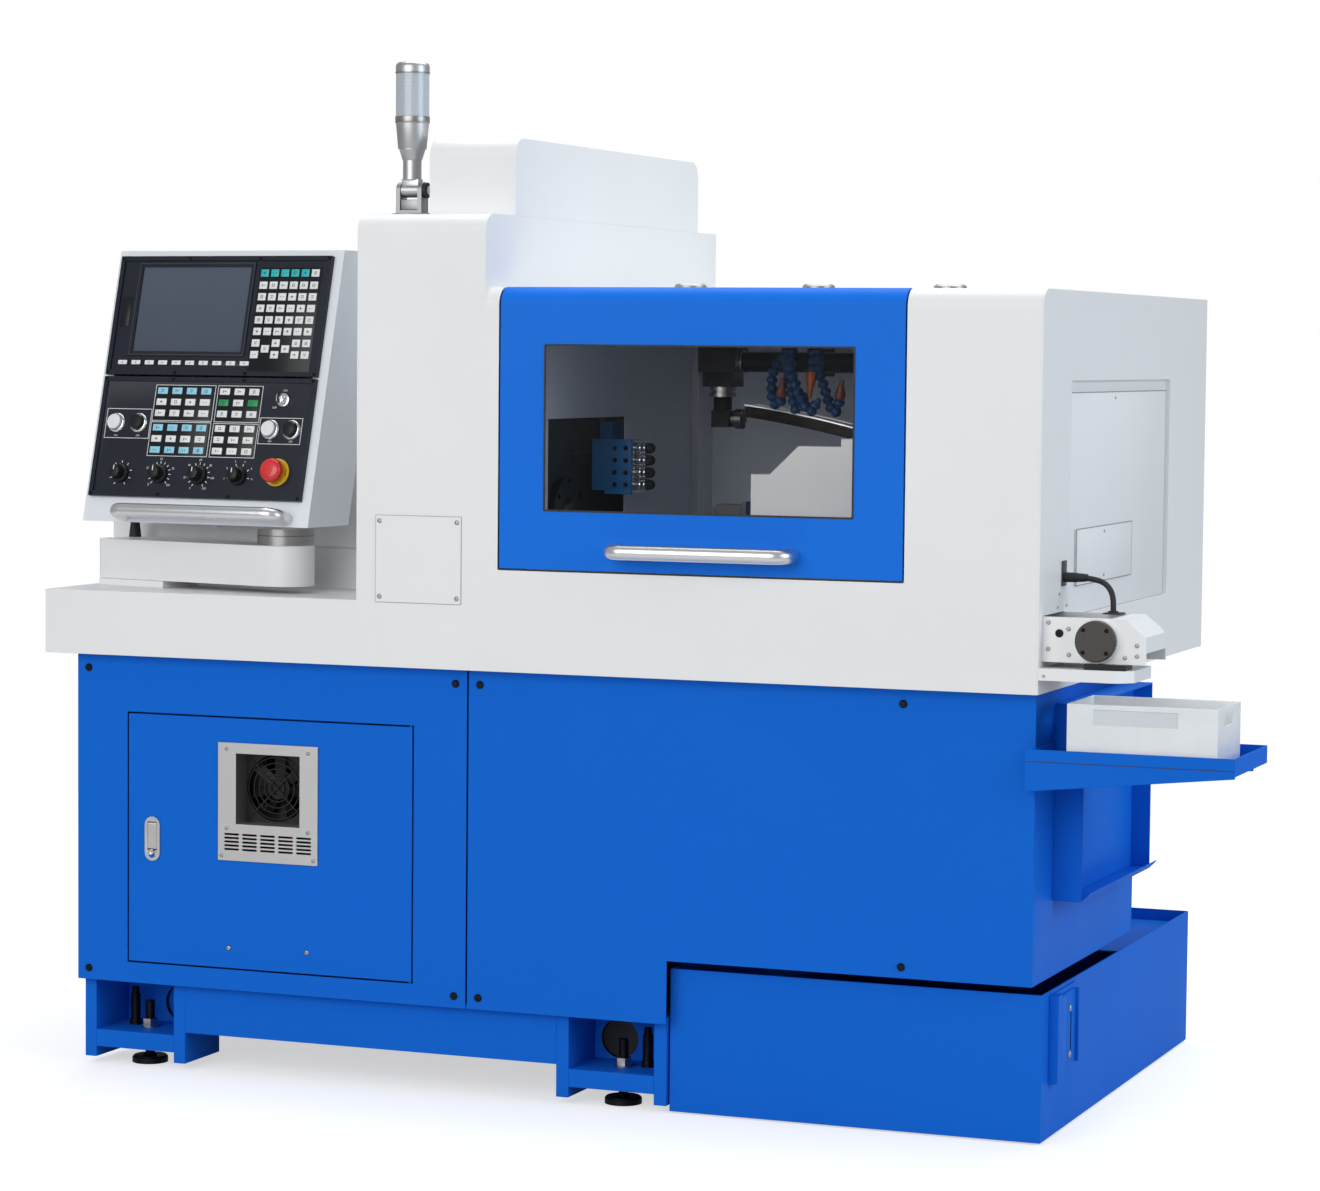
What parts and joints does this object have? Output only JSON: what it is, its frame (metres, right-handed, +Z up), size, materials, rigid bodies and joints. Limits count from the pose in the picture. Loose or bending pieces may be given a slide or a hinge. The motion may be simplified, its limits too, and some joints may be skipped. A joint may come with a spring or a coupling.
{
  "type": "cnc turning lathe",
  "caption": "Enclosed sliding-head turning lathe: white housing on a blue cabinet, lift-up front door, swing-arm control pendant and pull-out coolant tank.",
  "frame": {"origin": "on the floor under the middle of the machine's bounding box", "axes": "+X along the machine to its coolant tank end, +Y to the rear, +Z up; the door and pendant face -Y"},
  "size_m": [2.096, 1.1576, 1.72],
  "materials": {
    "aluminium": "brushed aluminium",
    "bin_plastic": "white polypropylene",
    "black_panel": "black membrane panel",
    "black_plastic": "moulded black plastic",
    "blue_paint": "smooth blue enamel",
    "bright_steel": "polished steel",
    "cast_base": "scraped and ground cast iron",
    "door_blue": "smooth blue enamel",
    "grey_paint": "satin grey enamel",
    "hose_blue": "modular hose segments",
    "key_white": "printed membrane keys",
    "lens": "frosted lens",
    "red_plastic": "red mushroom",
    "rubber": "black rubber",
    "screen": "dark display glass",
    "steel": "ground steel",
    "white_paint": "smooth white enamel",
    "window": "clear safety pane"
  },
  "bodies": {
    "machine": {"base_frame": "blue_paint", "levelling_feet": "steel", "cabinet_panels": "blue_paint", "cabinet_walls": "blue_paint", "panel_bolts": "steel", "housing_front": "white_paint", "housing_shell": "white_paint", "housing_end": "white_paint", "cover_plates": "white_paint", "hump_cover": "white_paint", "headstock_cover": "white_paint", "chamber_liner": "grey_paint", "machine_bed": "cast_base", "spindle_guard": "white_paint", "coolant_hoses": "hose_blue", "lamp_bracket": "steel", "arm_base": "white_paint", "side_shelf": "blue_paint", "parts_bin": "bin_plastic", "conveyor_frame": "white_paint", "conveyor_belt": "rubber", "conveyor_lead": "rubber"},
    "front_door": {"front_door": "door_blue", "door_window": "window", "door_handle": "aluminium"},
    "electric_door": {"cabinet_door": "blue_paint", "cooler_plate": "aluminium", "fan_guard": "black_plastic"},
    "latch": {"latch_paddle": "bright_steel"},
    "fan": {"fan_rotor": "black_plastic"},
    "arm": {"swing_arm": "white_paint"},
    "pendant": {"pendant_case": "white_paint", "control_units": "black_panel", "display_screen": "screen", "control_keys": "key_white", "control_bezels": "bright_steel", "pendant_handle": "aluminium"},
    "stop": {"stop_button": "red_plastic"},
    "key": {"key_switch": "bright_steel"},
    "lamp": {"lamp_pole": "bright_steel", "lamp_lens": "lens"},
    "drive_roller": {"drive_roller": "steel"},
    "idle_roller": {"idle_roller": "steel"},
    "tank": {"coolant_tank": "blue_paint"},
    "headstock": {"headstock": "cast_base"},
    "spindle": {"main_spindle": "bright_steel"},
    "cross_slide": {"cross_slide": "steel"},
    "tool_block": {"tool_block": "blue_paint"},
    "driven_head": {"driven_head": "steel"},
    "cutter": {"driven_cutter": "steel"},
    "sub_spindle": {"sub_spindle": "cast_base"},
    "sub_chuck": {"sub_chuck": "bright_steel"},
    "knob_1": {"knob_1": "black_plastic"},
    "button_1": {"button_1": "key_white"},
    "knob_2": {"knob_2": "black_plastic"},
    "button_2": {"button_2": "black_plastic"},
    "knob_3": {"knob_3": "black_plastic"},
    "button_3": {"button_3": "key_white"},
    "knob_4": {"knob_4": "black_plastic"},
    "button_4": {"button_4": "black_plastic"}
  },
  "joints": [
    {"name": "door_lift", "type": "hinge", "parent": "machine", "child": "front_door", "pos_m": [0.1715, -0.41765, 1.3398], "axis": [-1, 0, 0], "range_deg": [0, 80]},
    {"name": "cabinet_door_swing", "type": "hinge", "parent": "machine", "child": "electric_door", "pos_m": [-0.342, -0.49325, 0.188], "axis": [0, 0, 1], "range_deg": [0, 110]},
    {"name": "latch_pull", "type": "hinge", "parent": "electric_door", "child": "latch", "pos_m": [-0.8265, -0.49525, 0.426], "axis": [-1, 0, 0], "range_deg": [0, 60], "stiffness_Nm_per_rad": 0.4},
    {"name": "fan_spin", "type": "hinge", "parent": "electric_door", "child": "fan", "pos_m": [-0.606, -0.45625, 0.495], "axis": [0, 1, 0], "continuous": true},
    {"name": "arm_swing", "type": "hinge", "parent": "machine", "child": "arm", "pos_m": [-0.937, -0.34125, 0.836], "axis": [0, 0, 1], "range_deg": [-75, 0]},
    {"name": "pendant_turn", "type": "hinge", "parent": "arm", "child": "pendant", "pos_m": [-0.6191, -0.40882, 0.9224], "axis": [0, 0, 1], "range_deg": [-3, 90]},
    {"name": "knob_1_turn", "type": "hinge", "parent": "pendant", "child": "knob_1", "pos_m": [-0.91581, -0.44937, 1.0227], "axis": [0.0777, 0.9663, -0.2453], "range_deg": [0, 270]},
    {"name": "knob_2_turn", "type": "hinge", "parent": "pendant", "child": "knob_2", "pos_m": [-0.83686, -0.45572, 1.0227], "axis": [0.0777, 0.9663, -0.2453], "range_deg": [0, 270]},
    {"name": "knob_3_turn", "type": "hinge", "parent": "pendant", "child": "knob_3", "pos_m": [-0.75792, -0.46207, 1.0227], "axis": [0.0777, 0.9663, -0.2453], "range_deg": [0, 270]},
    {"name": "knob_4_turn", "type": "hinge", "parent": "pendant", "child": "knob_4", "pos_m": [-0.67897, -0.46842, 1.0227], "axis": [0.0777, 0.9663, -0.2453], "range_deg": [0, 270]},
    {"name": "button_1_press", "type": "slide", "parent": "pendant", "child": "button_1", "axis": [0.0777, 0.9663, -0.2453], "range_m": [0, 0.004], "stiffness_N_per_m": 500},
    {"name": "button_2_press", "type": "slide", "parent": "pendant", "child": "button_2", "axis": [0.0777, 0.9663, -0.2453], "range_m": [0, 0.004], "stiffness_N_per_m": 500},
    {"name": "button_3_press", "type": "slide", "parent": "pendant", "child": "button_3", "axis": [0.0777, 0.9663, -0.2453], "range_m": [0, 0.004], "stiffness_N_per_m": 500},
    {"name": "button_4_press", "type": "slide", "parent": "pendant", "child": "button_4", "axis": [0.0777, 0.9663, -0.2453], "range_m": [0, 0.004], "stiffness_N_per_m": 500},
    {"name": "stop_press", "type": "slide", "parent": "pendant", "child": "stop", "axis": [0.0777, 0.9663, -0.2453], "range_m": [0, 0.006]},
    {"name": "key_turn", "type": "hinge", "parent": "pendant", "child": "key", "pos_m": [-0.60618, -0.44155, 1.15164], "axis": [0.0777, 0.9663, -0.2453], "range_deg": [0, 90]},
    {"name": "lamp_fold", "type": "hinge", "parent": "machine", "child": "lamp", "pos_m": [-0.403, -0.37125, 1.506], "axis": [-1, 0, 0], "range_deg": [0, 90]},
    {"name": "drive_roller_spin", "type": "hinge", "parent": "machine", "child": "drive_roller", "pos_m": [0.826, -0.43625, 0.801], "axis": [0, 1, 0], "continuous": true},
    {"name": "idle_roller_spin", "type": "hinge", "parent": "machine", "child": "idle_roller", "pos_m": [0.65, -0.43625, 0.801], "axis": [0, 1, 0], "continuous": true},
    {"name": "tank_pull", "type": "slide", "parent": "machine", "child": "tank", "axis": [1, 0, 0], "range_m": [0, 0.6]},
    {"name": "headstock_feed", "type": "slide", "parent": "machine", "child": "headstock", "axis": [1, 0, 0], "range_m": [0, 0.1]},
    {"name": "spindle_spin", "type": "hinge", "parent": "headstock", "child": "spindle", "pos_m": [-0.688, -0.19125, 0.965], "axis": [1, 0, 0], "continuous": true},
    {"name": "cross_feed", "type": "slide", "parent": "machine", "child": "cross_slide", "axis": [0, 1, 0], "range_m": [-0.09, 0]},
    {"name": "tool_feed", "type": "slide", "parent": "cross_slide", "child": "tool_block", "axis": [0, 0, 1], "range_m": [-0.05, 0.03]},
    {"name": "driven_head_feed", "type": "slide", "parent": "machine", "child": "driven_head", "axis": [0, 0, 1], "range_m": [-0.06, 0]},
    {"name": "cutter_spin", "type": "hinge", "parent": "driven_head", "child": "cutter", "pos_m": [0.118, -0.19125, 1.128], "axis": [1, 0, 0], "continuous": true},
    {"name": "sub_spindle_feed", "type": "slide", "parent": "machine", "child": "sub_spindle", "axis": [-1, 0, 0], "range_m": [0, 0.15]},
    {"name": "sub_chuck_spin", "type": "hinge", "parent": "sub_spindle", "child": "sub_chuck", "pos_m": [0.248, -0.19125, 0.965], "axis": [1, 0, 0], "continuous": true}
  ],
  "couplings": [
    {"joint": "idle_roller_spin", "follows": "drive_roller_spin", "ratio": 1}
  ]
}
